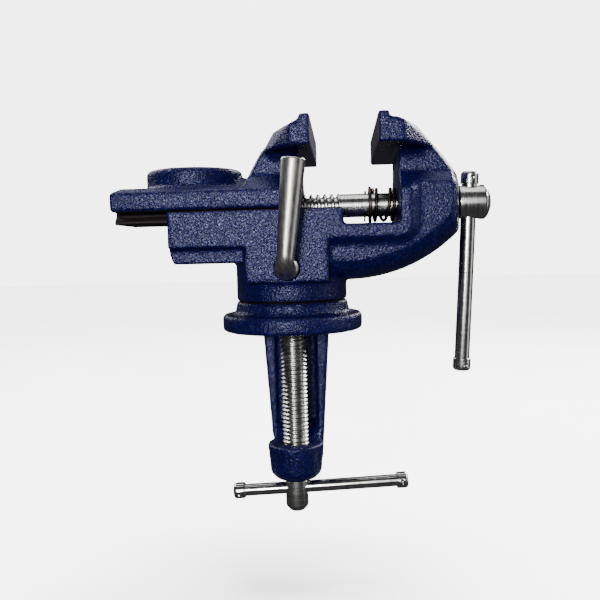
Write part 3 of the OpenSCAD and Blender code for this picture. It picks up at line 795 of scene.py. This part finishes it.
def split_pin():
    """A folded wire: an eye on one side of the shank, and two legs that spread on the other."""
    apart, eye_r, eye_at, leg_wire, eye_wire = 0.34, 0.75, 5.55, 0.33, 0.36
    legs = []
    for s in (-1, 1):
        path = [(apart * s, 0, 4.9), (apart * s, 0, 0), (apart * s, 0, -4.5)]
        path += [(apart * s + 0.25 * s * t, -2.2 * s * t * t, -4.6 - 1.1 * math.sin(t * 1.4))
                 for t in np.linspace(0.15, 1, 7)]
        points, faces = swept(path, [leg_wire] * len(path), 16)
        legs.append(new_object("leg", placed(points, PIN_AT, PIN_TURN), faces))
    eye = [(0, eye_r * math.sin(a), eye_at - eye_r * math.cos(a))
           for a in np.radians(np.linspace(20, 340, 33))]
    points, faces = swept(eye, [eye_wire] * len(eye), 16)
    pin = new_object("split_pin_folded", placed(points, PIN_AT, PIN_TURN), faces)
    for leg in legs:
        boolean(pin, leg, "UNION")
    sharpen(pin, 50)
    return dress(pin, "screw", "spring_steel", SPRING_STEEL, "split_pin")


thrust_washer()
take_up_spring()
split_pin()


# ---------------------------------------------------------------- floor, light and camera


def stage_material():
    n = Nodes("pale_floor")
    n.link(n.ramp(n.noise(8, 2.0), [(0.3, 0.86), (0.7, 0.90)]), n.shader.inputs["Base Color"])
    n.shader.inputs["Roughness"].default_value = 0.9
    return n.material


def floor():
    """A pale floor below the clamp handle's lowest place, with a light of its own so that it stays plain."""
    clamp_travel = JOINTS["clamp_travel"]["range_m"][1] / MM
    half, z = 3000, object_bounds()[0][2] / MM - clamp_travel - 1
    points = [(-half, -half, z), (half, -half, z), (half, half, z), (-half, half, z)]
    obj = new_object("floor", points, [[0, 1, 2, 3]], smooth=False)
    obj.data.materials.append(stage_material())
    obj.visible_glossy = obj.visible_diffuse = False
    obj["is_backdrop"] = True
    lit = bpy.data.collections.new("floor_only")
    lit.objects.link(obj)
    light = bpy.data.lights.new("floor_light", "SUN")
    light.energy, light.angle = 16.5, math.radians(40)
    lamp = bpy.data.objects.new("floor_light", light)
    lamp.rotation_euler = (math.radians(8), math.radians(6), 0)
    lamp.light_linking.receiver_collection = lit
    bpy.context.scene.collection.objects.link(lamp)


def area_light(name, place, target, size, glow):
    """A rectangular light. glow is its brightness as seen, whatever its size."""
    light = bpy.data.lights.new(name, "AREA")
    light.shape, light.size, light.size_y = "RECTANGLE", size[0], size[1]
    light.energy = glow * math.pi * size[0] * size[1]
    obj = bpy.data.objects.new(name, light)
    obj.location = place
    obj.rotation_euler = (Vector(target) - Vector(place)).to_track_quat("-Z", "Y").to_euler()
    bpy.context.scene.collection.objects.link(obj)


def world():
    """A pale backdrop that hardly lights the part."""
    sky = bpy.data.worlds.new("studio")
    sky.use_nodes = True
    bpy.context.scene.world = sky
    tree = sky.node_tree
    background = tree.nodes["Background"]
    path = tree.nodes.new("ShaderNodeLightPath")
    mix = tree.nodes.new("ShaderNodeMix")
    mix.data_type = "RGBA"
    mix.inputs[6].default_value = (0.05, 0.05, 0.053, 1)
    mix.inputs[7].default_value = (5.0, 5.0, 5.0, 1)
    tree.links.new(path.outputs["Is Camera Ray"], mix.inputs["Factor"])
    tree.links.new(mix.outputs[2], background.inputs["Color"])


def camera():
    """The photo's view: close in front, 29 mm above the base's underside, looking about 4 degrees down."""
    data = bpy.data.cameras.new("camera")
    data.lens, data.sensor_width, data.clip_start = 41.4, 36, 0.01
    obj = bpy.data.objects.new("camera", data)
    obj.location = (0.0189, -0.2556, 0.0287)
    obj.rotation_euler = [math.radians(a) for a in (85.943, 1.45, 3.475)]
    bpy.context.scene.collection.objects.link(obj)
    bpy.context.scene.camera = obj


floor()
world()
camera()
area_light("front_core", (-0.10, -0.72, 0.10), (0, 0, 0.02), (0.12, 0.12), 78)
area_light("front_panel", (0.05, -0.85, 0.15), (0, 0, 0.02), (0.60, 0.50), 1.3)
area_light("back_core", (0.46, 0.56, 0.42), (0, 0, 0.02), (0.34, 0.34), 14)
area_light("back_panel", (-0.52, 0.50, 0.42), (0, 0, 0.02), (0.50, 0.40), 2.6)
area_light("right_core", (0.62, 0.05, 0.36), (0, 0, 0.02), (0.14, 0.14), 35)
area_light("right_panel", (0.70, -0.10, 0.05), (0, 0, 0.02), (0.30, 0.50), 1.0)
area_light("left_core", (-0.55, 0.12, 0.55), (0, 0, 0.02), (0.14, 0.14), 26)
area_light("top_panel", (0.0, 0.05, 0.75), (0, 0, 0), (0.60, 0.60), 2.2)
